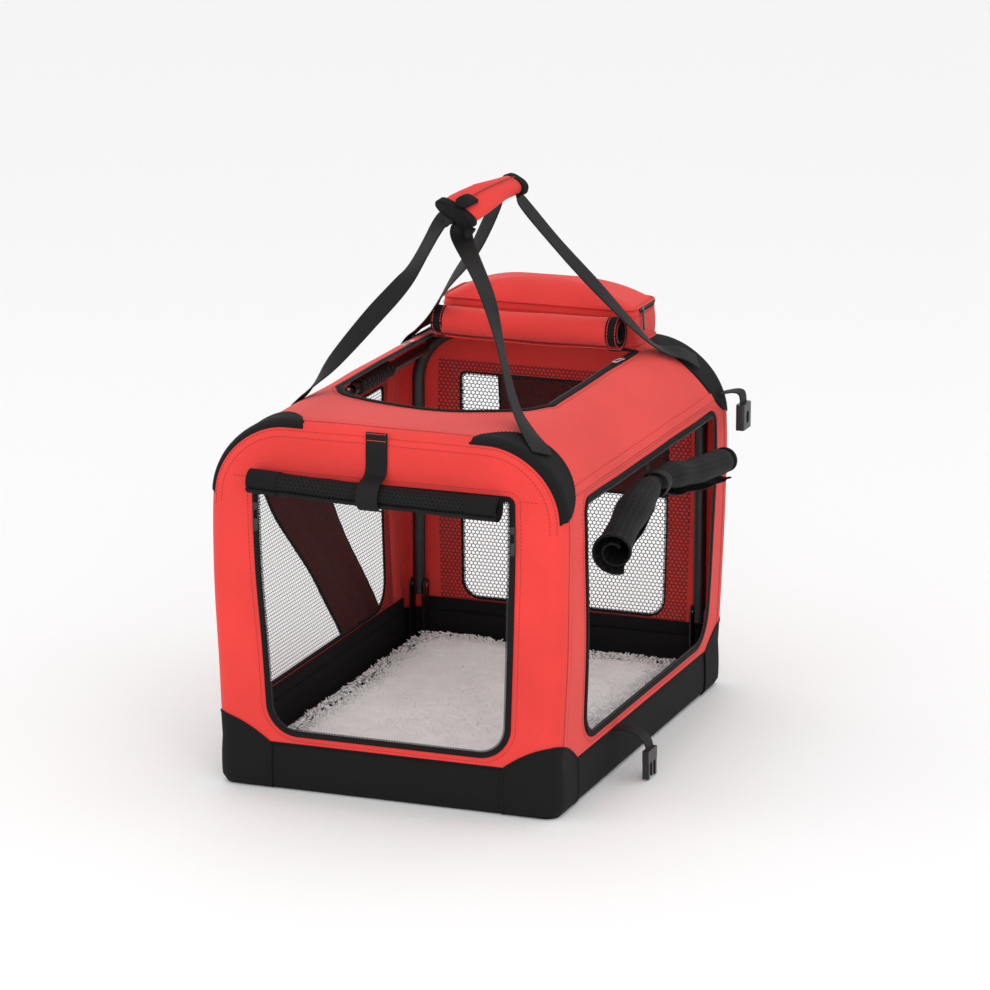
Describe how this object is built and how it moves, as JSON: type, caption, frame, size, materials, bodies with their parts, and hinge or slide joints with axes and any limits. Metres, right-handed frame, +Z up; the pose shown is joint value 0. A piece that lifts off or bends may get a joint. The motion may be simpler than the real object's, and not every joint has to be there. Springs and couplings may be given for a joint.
{
  "type": "folding soft pet carrier",
  "caption": "Folding soft-sided pet carrier with arched end panels, zip openings, roof pouch, carrying handle and a folding tube frame.",
  "frame": {"origin": "middle of the underside of the base", "axes": "+Z up, +X to the carrier's right, -Y towards the front door"},
  "size_m": [0.4845, 0.6449, 0.6868],
  "materials": {
    "red_fabric": "plain woven polyester",
    "black_fabric": "plain woven polyester",
    "black_webbing": "ribbed woven webbing",
    "black_mesh": "knitted hexagonal mesh",
    "black_zip": "coil zip and binding tape",
    "fleece": "long-pile fleece",
    "floor_board": "matt board",
    "black_tube": "powder coat",
    "bright_steel": "bright zinc",
    "black_plastic": "moulded, satin"
  },
  "bodies": {
    "base": {"base_frame": "black_tube", "floor_board": "floor_board", "fleece_mat": "fleece", "base_band": "black_fabric", "bottom_corner_patches": "black_fabric", "hinge_brackets": "black_tube", "fold_pins": "bright_steel", "left_side_panel": "red_fabric", "right_side_panel": "red_fabric", "left_window_zip": "black_zip", "right_window_zip": "black_zip", "left_mesh_window": "black_mesh", "left_window_flap": "red_fabric", "right_flap_roll": "black_mesh", "right_roll_strap": "black_webbing"},
    "front_end": {"front_hoop": "black_tube", "front_corner_tabs": "black_tube", "front_panel": "red_fabric", "front_door_zip": "black_zip", "front_door_roll": "black_mesh"},
    "rear_end": {"rear_hoop": "black_tube", "rear_corner_tabs": "black_tube", "rear_panel": "red_fabric", "rear_door_zip": "black_zip", "rear_mesh_window": "black_mesh", "rear_window_flap": "red_fabric"},
    "left_rail": {"front_left_rail": "black_tube", "left_rail_rivet": "bright_steel"},
    "left_rail_rear_half": {"rear_left_rail": "black_tube"},
    "right_rail": {"rear_right_rail": "black_tube", "right_rail_rivet": "bright_steel"},
    "right_rail_front_half": {"front_right_rail": "black_tube"},
    "left_sleeve": {"left_lock_sleeve": "black_plastic"},
    "right_sleeve": {"right_lock_sleeve": "black_plastic"},
    "roof": {"roof_panel": "red_fabric", "roof_zip": "black_zip", "roof_flap_roll": "red_fabric", "pouch": "red_fabric", "top_corner_patches": "black_fabric", "handle_strap_front_left": "black_webbing", "handle_strap_front_right": "black_webbing", "handle_strap_rear_left": "black_webbing", "handle_strap_rear_right": "black_webbing"},
    "pouch_lid": {"pouch_lid": "red_fabric"},
    "handle": {"handle_grip": "red_fabric", "grip_keeper_tab": "black_webbing"},
    "door_strap": {"front_door_strap": "black_webbing"},
    "lower_strap": {"lower_webbing": "black_webbing", "male_buckle": "black_plastic"},
    "upper_strap": {"upper_webbing": "black_webbing", "female_buckle": "black_plastic"},
    "front_left_slider": {"front_left_zip_slider": "black_plastic"},
    "front_left_pull": {"front_left_zip_pull": "black_plastic"},
    "front_right_slider": {"front_right_zip_slider": "black_plastic"},
    "front_right_pull": {"front_right_zip_pull": "black_plastic"},
    "roof_left_slider": {"roof_left_zip_slider": "bright_steel"},
    "roof_left_pull": {"roof_left_zip_pull": "bright_steel"},
    "roof_right_slider": {"roof_right_zip_slider": "bright_steel"},
    "roof_right_pull": {"roof_right_zip_pull": "bright_steel"}
  },
  "joints": [
    {"name": "front_fold", "type": "hinge", "parent": "base", "child": "front_end", "pos_m": [0, -0.284, 0.072], "axis": [-1, 0, 0], "range_deg": [0, 88], "deforming": ["left_side_panel", "right_side_panel", "left_window_zip", "right_window_zip", "left_mesh_window", "left_window_flap", "right_flap_roll", "right_roll_strap", "front_panel", "front_door_zip"]},
    {"name": "rear_fold", "type": "hinge", "parent": "base", "child": "rear_end", "pos_m": [0, 0.284, 0.094], "axis": [1, 0, 0], "range_deg": [0, 82], "deforming": ["rear_panel", "rear_door_zip", "rear_mesh_window"]},
    {"name": "roof_drop", "type": "slide", "parent": "base", "child": "roof", "axis": [0, 0, -1], "range_m": [0, 0.262], "deforming": ["roof_panel", "roof_zip", "roof_flap_roll", "pouch", "top_corner_patches"]},
    {"name": "left_rail_drop", "type": "slide", "parent": "base", "child": "left_rail", "axis": [0, 0, -1], "range_m": [0, 0.36]},
    {"name": "right_rail_drop", "type": "slide", "parent": "base", "child": "right_rail", "axis": [0, 0, -1], "range_m": [0, 0.36]},
    {"name": "left_rail_fold", "type": "hinge", "parent": "left_rail", "child": "left_rail_rear_half", "pos_m": [-0.1702, 0, 0.412], "axis": [0, 0, -1], "range_deg": [0, 80]},
    {"name": "right_rail_fold", "type": "hinge", "parent": "right_rail", "child": "right_rail_front_half", "pos_m": [0.1702, 0, 0.412], "axis": [0, 0, -1], "range_deg": [0, 80]},
    {"name": "left_sleeve_slide", "type": "slide", "parent": "left_rail_rear_half", "child": "left_sleeve", "axis": [0, 1, 0], "range_m": [-0.08, 0]},
    {"name": "right_sleeve_slide", "type": "slide", "parent": "right_rail_front_half", "child": "right_sleeve", "axis": [0, -1, 0], "range_m": [-0.08, 0]},
    {"name": "handle_drop", "type": "slide", "parent": "roof", "child": "handle", "axis": [0, 0, -1], "range_m": [0, 0.15], "deforming": ["handle_strap_front_left", "handle_strap_front_right", "handle_strap_rear_left", "handle_strap_rear_right"]},
    {"name": "pouch_lid_open", "type": "hinge", "parent": "roof", "child": "pouch_lid", "pos_m": [0, 0.199, 0.4936], "axis": [1, 0, 0], "range_deg": [0, 95]},
    {"name": "door_strap_open", "type": "hinge", "parent": "front_end", "child": "door_strap", "pos_m": [0, -0.3045, 0.446], "axis": [-1, 0, 0], "range_deg": [0, 110], "deforming": ["front_door_strap"]},
    {"name": "lower_strap_swing", "type": "hinge", "parent": "base", "child": "lower_strap", "pos_m": [0.2105, -0.105, 0.051], "axis": [0, -1, 0], "range_deg": [0, 80], "deforming": ["lower_webbing"]},
    {"name": "upper_strap_swing", "type": "hinge", "parent": "roof", "child": "upper_strap", "pos_m": [0.214, 0.276, 0.383], "axis": [0, -1, 0], "range_deg": [0, 80]},
    {"name": "front_left_zip_slide", "type": "slide", "parent": "front_end", "child": "front_left_slider", "axis": [0, 0, -1], "range_m": [0, 0.2]},
    {"name": "front_right_zip_slide", "type": "slide", "parent": "front_end", "child": "front_right_slider", "axis": [0, 0, -1], "range_m": [0, 0.2]},
    {"name": "roof_left_zip_slide", "type": "slide", "parent": "roof", "child": "roof_left_slider", "axis": [0, -1, 0], "range_m": [0, 0.22]},
    {"name": "roof_right_zip_slide", "type": "slide", "parent": "roof", "child": "roof_right_slider", "axis": [0, -1, 0], "range_m": [0, 0.22]},
    {"name": "front_left_pull_swing", "type": "hinge", "parent": "front_left_slider", "child": "front_left_pull", "pos_m": [-0.1595, -0.3085, 0.3398], "axis": [-1, 0, 0], "range_deg": [0, 110]},
    {"name": "roof_left_pull_swing", "type": "hinge", "parent": "roof_left_slider", "child": "roof_left_pull", "pos_m": [-0.1375, 0.1268, 0.452], "axis": [-1, 0, 0], "range_deg": [0, 150]},
    {"name": "front_right_pull_swing", "type": "hinge", "parent": "front_right_slider", "child": "front_right_pull", "pos_m": [0.1595, -0.3085, 0.3398], "axis": [-1, 0, 0], "range_deg": [0, 110]},
    {"name": "roof_right_pull_swing", "type": "hinge", "parent": "roof_right_slider", "child": "roof_right_pull", "pos_m": [0.1375, 0.1268, 0.452], "axis": [-1, 0, 0], "range_deg": [0, 150]}
  ],
  "couplings": [
    {"joint": "rear_fold", "follows": "front_fold", "ratio": 0.9318},
    {"joint": "roof_drop", "follows": "front_fold", "m_per_rad": 0.17058},
    {"joint": "left_rail_drop", "follows": "front_fold", "m_per_rad": 0.23439},
    {"joint": "right_rail_drop", "follows": "front_fold", "m_per_rad": 0.23439}
  ]
}
